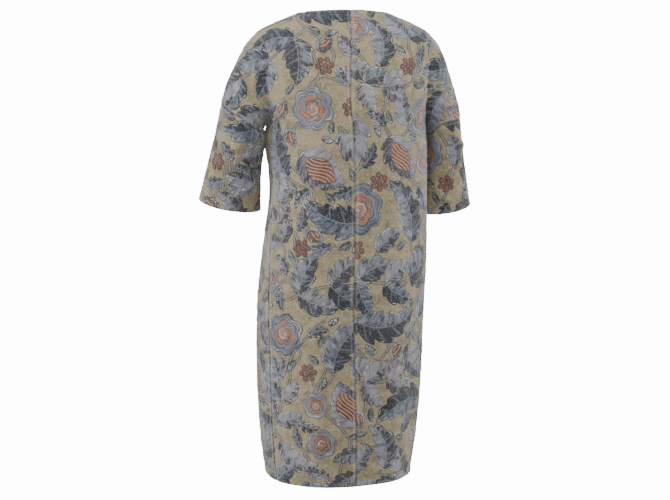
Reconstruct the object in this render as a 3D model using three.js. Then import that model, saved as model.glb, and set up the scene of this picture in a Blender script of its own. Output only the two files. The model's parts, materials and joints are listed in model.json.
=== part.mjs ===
// A straight, slightly barrel-shaped dress with dropped shoulders and elbow sleeves, filled out
// as if it were worn. Sizes are millimetres. X runs to the wearer's left, Y to the wearer's back
// and Z up, and the origin lies between the two neck points, where the dress rests on the shoulders.
// The outside of the whole dress is one skin of four-cornered faces. Each piece of cloth is a wall
// under its own part of that skin, drawn back a little from its neighbours at every seam.
import * as THREE from "three";

// Driving sizes.
const CLOTH_THICKNESS = 2;
const SEAM_GAP = 0.3;
const NECK_HEIGHT = 935; // from the hem up to the two neck points

// Stations up the side of the dress, measured over the cloth from the hem.
const HEM = 0;
const UNDERARM = 715;
const SHOULDER_POINT = 900;
const NECK_EDGE = 1005;

// Rings round the body. halfWidth, back and front reach from the ring's middle. side, rear and
// fore are heights above the hem, which differ where a ring bends over the shoulders. sway and
// lean move the ring's middle to the wearer's left and back, and round is 2 for an ellipse.
const BODY_RINGS = [
  { up: 0, halfWidth: 152, back: 133, front: 128, side: 0, rear: 0, fore: 0, sway: 7, lean: 0, round: 2.3 },
  { up: 40, halfWidth: 158, back: 135, front: 131, side: 40, rear: 40, fore: 40, sway: 7, lean: 0, round: 2.3 },
  { up: 100, halfWidth: 164.5, back: 137, front: 133, side: 100, rear: 100, fore: 100, sway: 6, lean: 0, round: 2.3 },
  { up: 165, halfWidth: 169, back: 139, front: 135, side: 165, rear: 165, fore: 165, sway: 5, lean: 0, round: 2.3 },
  { up: 255, halfWidth: 171.5, back: 139, front: 136, side: 255, rear: 255, fore: 255, sway: 4, lean: 1, round: 2.3 },
  { up: 345, halfWidth: 171.5, back: 138, front: 137, side: 345, rear: 345, fore: 345, sway: 2, lean: 3, round: 2.3 },
  { up: 405, halfWidth: 171, back: 136, front: 136, side: 405, rear: 405, fore: 405, sway: -2, lean: 5, round: 2.3 },
  { up: 465, halfWidth: 168.5, back: 132, front: 133, side: 465, rear: 465, fore: 465, sway: -6, lean: 7, round: 2.3 },
  { up: 525, halfWidth: 164, back: 127, front: 130, side: 525, rear: 525, fore: 525, sway: -10, lean: 9, round: 2.3 },
  { up: 585, halfWidth: 160, back: 121, front: 128, side: 585, rear: 585, fore: 585, sway: -13, lean: 11, round: 2.3 },
  { up: 655, halfWidth: 161.5, back: 118, front: 129, side: 655, rear: 655, fore: 655, sway: -12, lean: 11, round: 2.3 },
  { up: 715, halfWidth: 161, back: 116, front: 131, side: 715, rear: 715, fore: 712, sway: -9, lean: 10, round: 2.3 },
  { up: 777, halfWidth: 174, back: 112, front: 128, side: 777, rear: 775, fore: 767, sway: -4, lean: 8, round: 2.3 },
  { up: 822, halfWidth: 182, back: 106, front: 122, side: 822, rear: 816, fore: 797, sway: -4, lean: 6, round: 2.25 },
  { up: 879, halfWidth: 188, back: 97, front: 112, side: 880, rear: 853, fore: 823, sway: -5, lean: 4, round: 2.2 },
  { up: 900, halfWidth: 181, back: 93, front: 108, side: 894, rear: 867, fore: 832, sway: -5, lean: 3, round: 2.15 },
  { up: 952, halfWidth: 143, back: 82, front: 98, side: 916, rear: 903, fore: 852, sway: -6, lean: 2, round: 2.1 },
  { up: 1005, halfWidth: 92, back: 68, front: 88, side: 935, rear: 938, fore: 872, sway: -6, lean: 0, round: 2.1 },
];

// Where the seams run round the body, in degrees from the middle of the back. The side seams
// start under the arm and swing to the back, and the centre back seam turns a little with the cloth.
const SEAM_LINES = [
  { up: 0, centreBack: -6, side: 64 },
  { up: 140, centreBack: -4, side: 64 },
  { up: 340, centreBack: 0, side: 67 },
  { up: 440, centreBack: 2, side: 70 },
  { up: 520, centreBack: 4, side: 75 },
  { up: 600, centreBack: 5, side: 84 },
  { up: 715, centreBack: 5, side: 94 },
  { up: 815, centreBack: 4, side: 92 },
  { up: 1005, centreBack: 1, side: 90 },
];

// The fold where the body turns into the dropped shoulder, on the back and on the front, in
// degrees from the middle of the back.
const SHOULDER_FOLD = [
  { up: 715, back: 94, front: 94 },
  { up: 719, back: 88, front: 100 },
  { up: 728, back: 82, front: 105 },
  { up: 744, back: 77.5, front: 108 },
  { up: 766, back: 74.5, front: 110 },
  { up: 790, back: 73.5, front: 111 },
  { up: 814, back: 73.5, front: 111 },
  { up: 837, back: 73.5, front: 110.5 },
  { up: 857, back: 74, front: 109 },
  { up: 874, back: 76, front: 106 },
  { up: 889, back: 81, front: 100 },
  { up: 900, back: 90, front: 90 },
];

// Soft folds of the body. Each runs from one place to another, given as degrees from the middle
// of the back and a station, and stands out by height or, where that is negative, sinks in.
const BODY_FOLDS = [
  { from: [76, 640], to: [70, 300], reach: 16, height: 4.5 },
  { from: [88, 620], to: [84, 330], reach: 13, height: -4 },
  { from: [66, 520], to: [60, 240], reach: 14, height: -3 },
  { from: [-70, 420], to: [-66, 60], reach: 14, height: 3.5 },
  { from: [-82, 400], to: [-78, 20], reach: 14, height: -3 },
  { from: [128, 640], to: [140, 200], reach: 22, height: -3 },
  { from: [-128, 640], to: [-140, 200], reach: 22, height: -3 },
];
const FOLD_RADIUS = 150; // turns degrees round the body into a length over the cloth

// The arms' rings: the seam where the sleeve is sewn to the dropped shoulder, and the cuff. The
// ring's middle is out, back and, from the hem, up. Half its breadth is across and half its depth
// deep, rise tilts its outer side up and nod its back down, in degrees, round is as above, and dip
// is how far the ring drops at the underarm.
const ARM_RINGS = {
  left: {
    armhole: { out: 202, back: -3, up: 729, across: 47.5, deep: 60, rise: 32, nod: 4, round: 2.5, dip: 4 },
    cuff: { out: 223.5, back: -36, up: 555, across: 64, deep: 47, rise: 9, nod: 16, round: 2.1, dip: 0 },
  },
  right: {
    armhole: { out: 214, back: -8, up: 723, across: 32.5, deep: 62, rise: 8, nod: 0, round: 2.5, dip: 26 },
    cuff: { out: 228, back: -40, up: 543, across: 58, deep: 50, rise: 9, nod: 14, round: 2.1, dip: 0 },
  },
};
const ARM_HANG = { out: 0.1, back: -0.16, up: -0.98 }; // the way that the arm points
const SHOULDER_SPREAD = 0.5; // how far the cloth turns outwards as it leaves the shoulder fold

// Drag folds of an arm. Each place is a share of the way round, from the underarm over the
// back, and a share of the way along, from the shoulder fold to the cuff.
const ARM_FOLDS = [
  { from: [0.42, 0.24], to: [0.22, 0.44], reach: 10, height: -4 },
  { from: [0.36, 0.18], to: [0.2, 0.32], reach: 9, height: 3 },
  { from: [0.48, 0.34], to: [0.26, 0.6], reach: 11, height: 3 },
  { from: [0.6, 0.24], to: [0.8, 0.44], reach: 11, height: -3.5 },
  { from: [0.66, 0.3], to: [0.84, 0.6], reach: 11, height: 3 },
  { from: [0.12, 0.6], to: [0.16, 0.95], reach: 12, height: -3 },
];
const ARM_GIRTH = 345;
const ARM_LENGTH = 330;

// How finely the skin is divided.
const BACK_COLUMNS = 11;
const FRONT_COLUMNS = 30;
const ROWS_BELOW_ARM = 25;
const ROWS_ON_SHOULDER = 5;
const ROWS_TO_ARMHOLE = 8;
const ROWS_TO_CUFF = 8;

const radians = THREE.MathUtils.degToRad;

// A smooth curve through the rows' places that never swings past them.
function curveThrough(places, values) {
  const last = places.length - 1;
  const steps = values.slice(1).map((value, i) => (value - values[i]) / (places[i + 1] - places[i]));
  const slopes = values.map((_, i) => {
    if (i === 0) return steps[0];
    if (i === last) return steps[last - 1];
    const [before, after] = [steps[i - 1], steps[i]];
    return before * after <= 0 ? 0 : (2 * before * after) / (before + after);
  });
  return (place) => {
    const wanted = THREE.MathUtils.clamp(place, places[0], places[last]);
    let i = 0;
    while (i < last - 1 && wanted > places[i + 1]) i += 1;
    const width = places[i + 1] - places[i];
    const t = (wanted - places[i]) / width;
    const start = values[i] * (2 * t ** 3 - 3 * t ** 2 + 1) + slopes[i] * width * (t ** 3 - 2 * t ** 2 + t);
    const end = values[i + 1] * (3 * t ** 2 - 2 * t ** 3) + slopes[i + 1] * width * (t ** 3 - t ** 2);
    return start + end;
  };
}

// One curve for each column of a table whose first column is the station.
function curvesOf(table) {
  const stations = table.map((row) => row.up);
  const names = Object.keys(table[0]);
  return Object.fromEntries(names.map((name) => [name, curveThrough(stations, table.map((row) => row[name]))]));
}

const ring = curvesOf(BODY_RINGS);
const seam = curvesOf(SEAM_LINES);

// A place on the body's smooth form, at an angle in degrees from the middle of the back.
function bodyForm(degrees, up) {
  const [s, c] = [Math.sin(radians(degrees)), Math.cos(radians(degrees))];
  const depth = c >= 0 ? ring.back(up) : ring.front(up);
  const round = ring.round(up);
  const share = Math.abs(s / ring.halfWidth(up)) ** round + Math.abs(c / depth) ** round;
  const reach = share ** (-1 / round);
  const middleHeight = c >= 0 ? ring.rear(up) : ring.fore(up);
  const height = ring.side(up) + (middleHeight - ring.side(up)) * c * c;
  return new THREE.Vector3(ring.sway(up) + reach * s, ring.lean(up) + reach * c, height - NECK_HEIGHT);
}

// The direction that faces out of the body's smooth form.
function bodyOutward(degrees, up) {
  const round = bodyForm(degrees + 0.5, up).sub(bodyForm(degrees - 0.5, up));
  const [below, above] = [Math.max(up - 2, HEM), Math.min(up + 2, NECK_EDGE)];
  const along = bodyForm(degrees, above).sub(bodyForm(degrees, below));
  return along.cross(round).normalize();
}

// How far a place stands out because of folds, once toLength has turned places into lengths.
function foldHeight(place, folds, toLength) {
  const here = toLength(place);
  return folds.reduce((sum, fold) => {
    const start = toLength(fold.from);
    const way = toLength(fold.to).sub(start);
    const t = here.clone().sub(start).dot(way) / way.lengthSq();
    const nearest = start.addScaledVector(way, THREE.MathUtils.clamp(t, 0, 1));
    const fade = Math.sin(Math.PI * THREE.MathUtils.clamp(0.12 + 0.76 * t, 0, 1));
    return sum + fold.height * fade * Math.exp(-((here.distanceTo(nearest) / fold.reach) ** 2));
  }, 0);
}

const overBody = ([degrees, up]) => new THREE.Vector2(radians(degrees) * FOLD_RADIUS, up);
const overArm = ([turn, along]) => new THREE.Vector2(turn * ARM_GIRTH, along * ARM_LENGTH);

// The skin's corners and faces. A face's corners run anticlockwise seen from outside.
const faces = [];
const ownerOfEdge = new Map();
let cornerCount = 0;

function corner(position) {
  cornerCount += 1;
  return { id: cornerCount, position, outward: new THREE.Vector3() };
}

const edgeName = (from, to) => `${from.id} to ${to.id}`;

function addFace(piece, corners) {
  const [a, b, c, d] = corners.map(({ position }) => position);
  const outward = c.clone().sub(a).cross(d.clone().sub(b));
  for (const each of corners) each.outward.add(outward);
  corners.forEach((from, i) => ownerOfEdge.set(edgeName(from, corners[(i + 1) % 4]), piece));
  const [first, ...others] = corners;
  const bendsAcrossFirst = a.distanceTo(c) <= b.distanceTo(d); // a face bends along its shorter diagonal
  faces.push({ piece, corners: bendsAcrossFirst ? corners : [...others, first] });
}

// Corners across the body from one angle to another.
function cornersAcross(from, to, columns, up) {
  return Array.from({ length: columns + 1 }, (_, i) => {
    const degrees = from + ((to - from) * i) / columns;
    const turned = degrees > 180 ? degrees - 360 : degrees;
    const height = foldHeight([turned, up], BODY_FOLDS, overBody);
    return corner(bodyForm(degrees, up).addScaledVector(bodyOutward(degrees, up), height));
  });
}

// The angles at which the back and the front end at a station: at the side seam, at the
// shoulder fold, or at the shoulder seam.
function sideEdges(up) {
  const fold = SHOULDER_FOLD.find((row) => row.up === up);
  if (fold) return [fold.back, fold.front];
  const side = up < UNDERARM ? seam.side(up) : 90;
  return [side, side];
}

function bodyRow(up) {
  const [backEdge, frontEdge] = sideEdges(up);
  const centre = seam.centreBack(up);
  const row = {
    back_left: cornersAcross(centre, backEdge, BACK_COLUMNS, up),
    front: cornersAcross(frontEdge, 360 - frontEdge, FRONT_COLUMNS, up),
    back_right: cornersAcross(360 - backEdge, 360 + centre, BACK_COLUMNS, up),
  };
  row.back_right[BACK_COLUMNS] = row.back_left[0];
  if (backEdge === frontEdge) {
    row.front[0] = row.back_left[BACK_COLUMNS];
    row.back_right[0] = row.front[FRONT_COLUMNS];
  }
  return row;
}

function evenly(from, to, count) {
  return Array.from({ length: count }, (_, i) => from + ((to - from) * i) / count);
}

const stations = [
  ...evenly(HEM, UNDERARM, ROWS_BELOW_ARM),
  ...SHOULDER_FOLD.map((fold) => fold.up).slice(0, -1),
  ...evenly(SHOULDER_POINT, NECK_EDGE, ROWS_ON_SHOULDER),
  NECK_EDGE,
];
const bodyRows = stations.map(bodyRow);

for (let r = 0; r < bodyRows.length - 1; r += 1) {
  const [lower, upper] = [bodyRows[r], bodyRows[r + 1]];
  for (const piece of ["back_left", "front", "back_right"]) {
    for (let c = 0; c < lower[piece].length - 1; c += 1) {
      addFace(piece, [lower[piece][c], upper[piece][c], upper[piece][c + 1], lower[piece][c + 1]]);
    }
  }
}

// The shoulder fold of one side as a closed loop: from the underarm up the back and down the
// front, with the way that the cloth runs on from it into the arm.
function shoulderLoop(side) {
  const firstRow = stations.indexOf(UNDERARM);
  const [backPiece, backEnd, frontEnd] = side > 0 ? ["back_left", BACK_COLUMNS, 0] : ["back_right", 0, FRONT_COLUMNS];
  const upTheBack = SHOULDER_FOLD.map((fold, i) => ({
    start: bodyRows[firstRow + i][backPiece][backEnd],
    outward: bodyOutward(side * fold.back, fold.up),
  }));
  const upTheFront = SHOULDER_FOLD.slice(1, -1).map((fold, i) => ({
    start: bodyRows[firstRow + 1 + i].front[frontEnd],
    outward: bodyOutward(side * fold.front, fold.up),
  }));
  const loop = [...upTheBack, ...upTheFront.reverse()];
  return loop.map(({ start, outward }, i) => {
    const next = loop[(i + 1) % loop.length].start.position;
    const before = loop.at(i - 1).start.position;
    const into = outward.clone().cross(next.clone().sub(before)).multiplyScalar(side).normalize();
    into.x += side * SHOULDER_SPREAD;
    return { start, into: into.normalize() };
  });
}

// A point of an arm's ring. turn goes once round from the underarm over the back.
function armRingPoint({ out, back, up, across, deep, rise, nod, round, dip }, side, turn) {
  const [c, s] = [Math.cos(2 * Math.PI * turn), Math.sin(2 * Math.PI * turn)];
  const fullness = (Math.abs(c) ** round + Math.abs(s) ** round) ** (-1 / round);
  const [outward, backward] = [-c * fullness * across, s * fullness * deep];
  const drop = dip * ((1 + c) / 2) ** 6;
  return new THREE.Vector3(
    side * (out + outward * Math.cos(radians(rise))),
    back + backward * Math.cos(radians(nod)),
    up - NECK_HEIGHT + outward * Math.sin(radians(rise)) - backward * Math.sin(radians(nod)) - drop,
  );
}

// A smooth path from a start with its way to an end with its way.
function pathBetween(start, startWay, end, endWay, t) {
  return start
    .clone()
    .multiplyScalar(2 * t ** 3 - 3 * t ** 2 + 1)
    .addScaledVector(startWay, t ** 3 - 2 * t ** 2 + t)
    .addScaledVector(end, 3 * t ** 2 - 2 * t ** 3)
    .addScaledVector(endWay, t ** 3 - t ** 2);
}

// One line of an arm's smooth form, from the shoulder fold through the armhole seam to the cuff.
function armLine({ start, into }, side, turn) {
  const rings = ARM_RINGS[side > 0 ? "left" : "right"];
  const hang = new THREE.Vector3(side * ARM_HANG.out, ARM_HANG.back, ARM_HANG.up);
  const [armhole, cuff] = [armRingPoint(rings.armhole, side, turn), armRingPoint(rings.cuff, side, turn)];
  const [upperSpan, lowerSpan] = [start.position.distanceTo(armhole), armhole.distanceTo(cuff)];
  const leave = into.clone().multiplyScalar(0.55 * upperSpan);
  const arrive = hang.clone().multiplyScalar(0.65 * upperSpan);
  const down = cuff.clone().sub(armhole).normalize();
  const onward = down.clone().add(hang).normalize().multiplyScalar(lowerSpan);
  const upper = Array.from({ length: ROWS_TO_ARMHOLE }, (_, r) =>
    pathBetween(start.position, leave, armhole, arrive, (r / ROWS_TO_ARMHOLE) ** 1.25),
  );
  const lower = Array.from({ length: ROWS_TO_CUFF + 1 }, (_, r) =>
    pathBetween(armhole, onward, cuff, down.clone().multiplyScalar(lowerSpan), r / ROWS_TO_CUFF),
  );
  return [...upper, ...lower];
}

// An arm: the dropped shoulder belongs to the back and the front, and the rest to the sleeve.
function addArm(side) {
  const sideName = side > 0 ? "left" : "right";
  const loop = shoulderLoop(side);
  const lines = loop.map((place, i) => armLine(place, side, i / loop.length));
  const lastRow = lines[0].length - 1;
  const rows = lines[0].map((_, r) =>
    lines.map((line, i) => {
      if (r === 0) return loop[i].start;
      const along = line[Math.min(r + 1, lastRow)].clone().sub(line[r - 1]);
      const round = lines[(i + 1) % lines.length][r].clone().sub(lines.at(i - 1)[r]);
      const outward = round.cross(along).multiplyScalar(side).normalize();
      const height = foldHeight([i / lines.length, r / lastRow], ARM_FOLDS, overArm);
      return corner(line[r].clone().addScaledVector(outward, height));
    }),
  );
  for (let r = 0; r < lastRow; r += 1) {
    for (let i = 0; i < lines.length; i += 1) {
      const next = (i + 1) % lines.length;
      const corners = [rows[r][i], rows[r][next], rows[r + 1][next], rows[r + 1][i]];
      const shoulderPiece = i < lines.length / 2 ? `back_${sideName}` : "front";
      addFace(r < ROWS_TO_ARMHOLE ? shoulderPiece : `sleeve_${sideName}`, side > 0 ? corners : corners.reverse());
    }
  }
}

addArm(1);
addArm(-1);

// A piece's wall: the skin drawn back at the seams, the same skin a cloth's thickness further in,
// and a strip that joins them round every edge.
function wallOf(piece) {
  const own = faces.filter((face) => face.piece === piece);
  const corners = [...new Set(own.flatMap((face) => face.corners))];
  const outer = new Map(corners.map((each, i) => [each, i]));
  const inner = (index) => index + corners.length;
  const drawnBack = new Map(corners.map((each) => [each, []]));
  const triangles = [];
  const quad = (a, b, c, d) => triangles.push(a, b, c, a, c, d);

  for (const face of own) {
    const [a, b, c, d] = face.corners.map((each) => outer.get(each));
    quad(a, b, c, d);
    quad(inner(a), inner(d), inner(c), inner(b));
    face.corners.forEach((from, i) => {
      const to = face.corners[(i + 1) % 4];
      const neighbour = ownerOfEdge.get(edgeName(to, from));
      if (neighbour === piece) return;
      quad(outer.get(to), outer.get(from), inner(outer.get(from)), inner(outer.get(to)));
      if (!neighbour) return;
      const edge = to.position.clone().sub(from.position);
      const inward = from.outward.clone().add(to.outward).cross(edge).normalize();
      drawnBack.get(from).push(inward);
      drawnBack.get(to).push(inward);
    });
  }

  const outerPoints = corners.map((each) => {
    const ways = drawnBack.get(each);
    const sum = ways.reduce((total, way) => total.add(way), new THREE.Vector3());
    const shift = ways.length ? ((SEAM_GAP / 2) * ways.length) / sum.lengthSq() : 0;
    return each.position.clone().addScaledVector(sum, shift);
  });
  const innerPoints = outerPoints.map((point, i) =>
    point.clone().addScaledVector(corners[i].outward.clone().normalize(), -CLOTH_THICKNESS),
  );
  const geometry = new THREE.BufferGeometry();
  geometry.setFromPoints([...outerPoints, ...innerPoints]);
  geometry.setIndex(triangles);
  return geometry;
}

const bodyCloth = new THREE.MeshStandardMaterial({ color: "#8f887d", roughness: 0.82, metalness: 0 });
const sleeveCloth = new THREE.MeshStandardMaterial({ color: "#878078", roughness: 0.82, metalness: 0 });

const PIECES = [
  { name: "back_left", cloth: bodyCloth },
  { name: "back_right", cloth: bodyCloth },
  { name: "front", cloth: bodyCloth },
  { name: "sleeve_left", cloth: sleeveCloth },
  { name: "sleeve_right", cloth: sleeveCloth },
];

const dress = new THREE.Group();
for (const { name, cloth } of PIECES) {
  const mesh = new THREE.Mesh(wallOf(name), cloth);
  mesh.name = name;
  dress.add(mesh);
}

export default dress;
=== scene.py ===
# %% [markdown]
# A knee-length dress in a floral jacquard, filled out as if somebody wore it and seen from behind.
# The frame holds the pieces at their real size. This lesson rebuilds the same surface finely,
# cuts it into its five pieces, flattens them as a pattern cutter would, lays a trailing flower
# print on the flat pieces and gives the cloth its folds, seams and weave.

# %% Load the frame
import json
import math

import bpy
import numpy as np
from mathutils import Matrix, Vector, noise
from mathutils.kdtree import KDTree

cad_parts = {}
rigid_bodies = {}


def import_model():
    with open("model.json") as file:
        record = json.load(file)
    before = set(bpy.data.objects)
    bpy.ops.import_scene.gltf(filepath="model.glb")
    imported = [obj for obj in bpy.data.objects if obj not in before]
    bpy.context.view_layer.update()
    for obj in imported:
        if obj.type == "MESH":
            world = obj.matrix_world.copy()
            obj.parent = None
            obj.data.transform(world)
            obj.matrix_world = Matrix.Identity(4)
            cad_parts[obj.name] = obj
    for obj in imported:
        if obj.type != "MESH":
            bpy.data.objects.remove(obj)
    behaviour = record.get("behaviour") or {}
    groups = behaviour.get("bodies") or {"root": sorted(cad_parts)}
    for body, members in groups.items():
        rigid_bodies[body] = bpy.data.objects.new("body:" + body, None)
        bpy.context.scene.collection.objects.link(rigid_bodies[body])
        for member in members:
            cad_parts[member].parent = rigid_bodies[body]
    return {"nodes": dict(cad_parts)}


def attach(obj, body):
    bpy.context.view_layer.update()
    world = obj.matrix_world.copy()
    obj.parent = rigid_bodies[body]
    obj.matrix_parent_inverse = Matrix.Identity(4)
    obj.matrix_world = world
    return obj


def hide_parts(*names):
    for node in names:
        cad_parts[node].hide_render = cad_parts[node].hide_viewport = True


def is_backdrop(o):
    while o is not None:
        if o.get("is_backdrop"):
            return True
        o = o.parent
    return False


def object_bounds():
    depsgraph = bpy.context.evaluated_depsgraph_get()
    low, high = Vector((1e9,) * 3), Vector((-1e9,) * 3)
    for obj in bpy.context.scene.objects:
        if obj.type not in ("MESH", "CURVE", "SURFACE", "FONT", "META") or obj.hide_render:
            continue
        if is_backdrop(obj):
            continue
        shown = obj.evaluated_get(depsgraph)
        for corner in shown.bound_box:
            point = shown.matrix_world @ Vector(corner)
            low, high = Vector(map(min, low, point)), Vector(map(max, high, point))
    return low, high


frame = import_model()
cad_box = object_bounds()
MM = 0.001
print("nodes:", sorted(frame["nodes"]))

# %% [markdown]
# The camera comes first. It stands behind the dress, a little to the wearer's left and slightly
# above its middle, with a short telephoto lens that keeps the upright lines nearly upright.
# Of its two small functions one puts a thing in the scene and one aims it, as lamps need too.

# %% Camera
CAMERA_PLACE = (0.4484, 2.3068, -0.188)
CAMERA_AIM = (0.012, -0.0023, -0.4765)


def put_in_scene(name, data):
    thing = bpy.data.objects.new(name, data)
    bpy.context.scene.collection.objects.link(thing)
    return thing


def aimed(place, aim):
    return (Vector(aim) - Vector(place)).to_track_quat("-Z", "Y").to_euler()


camera = put_in_scene("camera", bpy.data.cameras.new("camera"))
camera.location = CAMERA_PLACE
camera.rotation_euler = aimed(CAMERA_PLACE, CAMERA_AIM)
camera.data.lens = 62
camera.data.sensor_width = 36
bpy.context.scene.camera = camera
print("camera to dress:", round(math.dist(CAMERA_PLACE, CAMERA_AIM), 2), "m")

# %% [markdown]
# The form of a worn dress is a stack of rings. Each ring is nearly an ellipse, with its own
# width, its own depth to the back and to the front, and its own middle. Smooth curves through the
# table give every ring between. These are the sizes of the frame's own pieces, in millimetres.

# %% Sizes of the dress
NECK_HEIGHT = 935  # from the hem up to the two neck points
UNDERARM, SHOULDER_POINT, NECK_EDGE = 715, 900, 1005
RING_COLUMNS = ("up", "half_width", "back", "front", "side", "rear", "fore", "sway", "lean", "round")
BODY_RINGS = [
    (0, 152, 133, 128, 0, 0, 0, 7, 0, 2.3),
    (40, 158, 135, 131, 40, 40, 40, 7, 0, 2.3),
    (100, 164.5, 137, 133, 100, 100, 100, 6, 0, 2.3),
    (165, 169, 139, 135, 165, 165, 165, 5, 0, 2.3),
    (255, 171.5, 139, 136, 255, 255, 255, 4, 1, 2.3),
    (345, 171.5, 138, 137, 345, 345, 345, 2, 3, 2.3),
    (405, 171, 136, 136, 405, 405, 405, -2, 5, 2.3),
    (465, 168.5, 132, 133, 465, 465, 465, -6, 7, 2.3),
    (525, 164, 127, 130, 525, 525, 525, -10, 9, 2.3),
    (585, 160, 121, 128, 585, 585, 585, -13, 11, 2.3),
    (655, 161.5, 118, 129, 655, 655, 655, -12, 11, 2.3),
    (715, 161, 116, 131, 715, 715, 712, -9, 10, 2.3),
    (777, 174, 112, 128, 777, 775, 767, -4, 8, 2.3),
    (822, 182, 106, 122, 822, 816, 797, -4, 6, 2.25),
    (879, 188, 97, 112, 880, 853, 823, -5, 4, 2.2),
    (900, 181, 93, 108, 894, 867, 832, -5, 3, 2.15),
    (952, 143, 82, 98, 916, 903, 852, -6, 2, 2.1),
    (1005, 92, 68, 88, 935, 938, 872, -6, 0, 2.1),
]
SEAM_COLUMNS = ("up", "centre_back", "side")
SEAM_LINES = [
    (0, -6, 64),
    (140, -4, 64),
    (340, 0, 67),
    (440, 2, 70),
    (520, 4, 75),
    (600, 5, 84),
    (715, 5, 94),
    (815, 4, 92),
    (1005, 1, 90),
]
# Where the body turns into the dropped shoulder: a height, and an angle on the back and the front.
SHOULDER_FOLD = [
    (715, 94, 94),
    (719, 88, 100),
    (728, 82, 105),
    (744, 77.5, 108),
    (766, 74.5, 110),
    (790, 73.5, 111),
    (814, 73.5, 111),
    (837, 73.5, 110.5),
    (857, 74, 109),
    (874, 76, 106),
    (889, 81, 100),
    (900, 90, 90),
]
# Main folds: from a place to a place, then how far each reaches and how high it stands.
BODY_FOLDS = [
    ((76, 640), (70, 300), 16, 4.5),
    ((88, 620), (84, 330), 13, -4),
    ((66, 520), (60, 240), 14, -3),
    ((-70, 420), (-66, 60), 14, 3.5),
    ((-82, 400), (-78, 20), 14, -3),
    ((128, 640), (140, 200), 22, -3),
    ((-128, 640), (-140, 200), 22, -3),
]
ARM_FOLDS = [
    ((0.42, 0.24), (0.22, 0.44), 10, -4),
    ((0.36, 0.18), (0.2, 0.32), 9, 3),
    ((0.48, 0.34), (0.26, 0.6), 11, 3),
    ((0.6, 0.24), (0.8, 0.44), 11, -3.5),
    ((0.66, 0.3), (0.84, 0.6), 11, 3),
    ((0.12, 0.6), (0.16, 0.95), 12, -3),
]
FOLD_RADIUS, ARM_GIRTH, ARM_LENGTH = 150, 345, 330
ARM_COLUMNS = ("out", "back", "up", "across", "deep", "rise", "nod", "round", "dip")
ARM_RINGS = {
    # the armhole and the cuff of the left arm, 1, and of the right arm, -1
    1: [(202, -3, 729, 47.5, 60, 32, 4, 2.5, 4), (223.5, -36, 555, 64, 47, 9, 16, 2.1, 0)],
    -1: [(214, -8, 723, 32.5, 62, 8, 0, 2.5, 26), (228, -40, 543, 58, 50, 9, 14, 2.1, 0)],
}
ARM_HANG = np.array([0.1, -0.16, -0.98])
SHOULDER_SPREAD = 0.5
BACK_COLUMNS, FRONT_COLUMNS = 11, 30
ROWS_BELOW_ARM, ROWS_ON_SHOULDER, ROWS_TO_ARMHOLE, ROWS_TO_CUFF = 25, 5, 8, 8
PIECES = ("back_left", "back_right", "front", "sleeve_left", "sleeve_right")
print("rings round the body:", len(BODY_RINGS))

# %% [markdown]
# A curve that passes through a table's rows can swing past them, and a swing shows as a dent in
# the cloth. Taking the harmonic mean of the slopes on both sides of a row keeps it from swinging.

# %% Smooth curves through the tables
def path_between(start, start_way, end, end_way, t):
    return (
        start * (2 * t**3 - 3 * t**2 + 1)
        + start_way * (t**3 - 2 * t**2 + t)
        + end * (3 * t**2 - 2 * t**3)
        + end_way * (t**3 - t**2)
    )


def curve_through(places, values):
    places, values = np.asarray(places, float), np.asarray(values, float)
    steps = np.diff(values) / np.diff(places)
    before, after = steps[:-1], steps[1:]
    agree = before * after > 0
    middle = np.where(agree, 2 * before * after / np.where(agree, before + after, 1), 0)
    slopes = np.concatenate([steps[:1], middle, steps[-1:]])

    def curve(place):
        wanted = np.clip(place, places[0], places[-1])
        i = np.clip(np.searchsorted(places, wanted) - 1, 0, len(places) - 2)
        width = places[i + 1] - places[i]
        t = (wanted - places[i]) / width
        return path_between(values[i], slopes[i] * width, values[i + 1], slopes[i + 1] * width, t)

    return curve


def curves_of(columns, rows):
    table = np.array(rows, float).T
    return {name: curve_through(table[0], values) for name, values in zip(columns, table)}


ring = curves_of(RING_COLUMNS, BODY_RINGS)
seam = curves_of(SEAM_COLUMNS, SEAM_LINES)


def unit(vectors):
    return vectors / np.linalg.norm(vectors, axis=-1, keepdims=True)


def body_form(degrees, up):
    """Places on the body's smooth form, at angles from the middle of the back."""
    degrees, up = np.broadcast_arrays(np.asarray(degrees, float), np.asarray(up, float))
    s, c = np.sin(np.radians(degrees)), np.cos(np.radians(degrees))
    depth = np.where(c >= 0, ring["back"](up), ring["front"](up))
    power = ring["round"](up)
    reach = (np.abs(s / ring["half_width"](up)) ** power + np.abs(c / depth) ** power) ** (-1 / power)
    middle = np.where(c >= 0, ring["rear"](up), ring["fore"](up))
    height = ring["side"](up) + (middle - ring["side"](up)) * c * c
    return np.stack([ring["sway"](up) + reach * s, ring["lean"](up) + reach * c, height - NECK_HEIGHT], -1)


def body_outward(degrees, up):
    around = body_form(degrees + 0.5, up) - body_form(degrees - 0.5, up)
    along = body_form(degrees, np.minimum(up + 2, NECK_EDGE)) - body_form(degrees, np.maximum(up - 2, 0))
    return unit(np.cross(along, around))


def fold_height(places, folds, scale):
    here = places * scale
    total = np.zeros(len(places))
    for start, end, reach, height in folds:
        first, way = np.array(start) * scale, (np.array(end) - np.array(start)) * scale
        t = (here - first) @ way / (way @ way)
        nearest = first + np.clip(t, 0, 1)[:, None] * way
        fade = np.sin(np.pi * np.clip(0.12 + 0.76 * t, 0, 1))
        total += height * fade * np.exp(-((np.linalg.norm(here - nearest, axis=1) / reach) ** 2))
    return total


print("hem reaches back to", body_form(0, 0).round(1), "mm")

# %% [markdown]
# The skin is built as a cage of four-cornered faces, in the same rows and columns as the frame's
# pieces: the body first, then each arm, which grows out of the fold at the shoulder. One cage for
# the whole dress keeps the cloth smooth across its seams.

# %% The cage of the whole dress
cage_points = []
cage_faces = []
cage_owner = []


def add_points(points):
    first = len(cage_points)
    cage_points.extend(points)
    return np.arange(first, len(cage_points))


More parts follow.
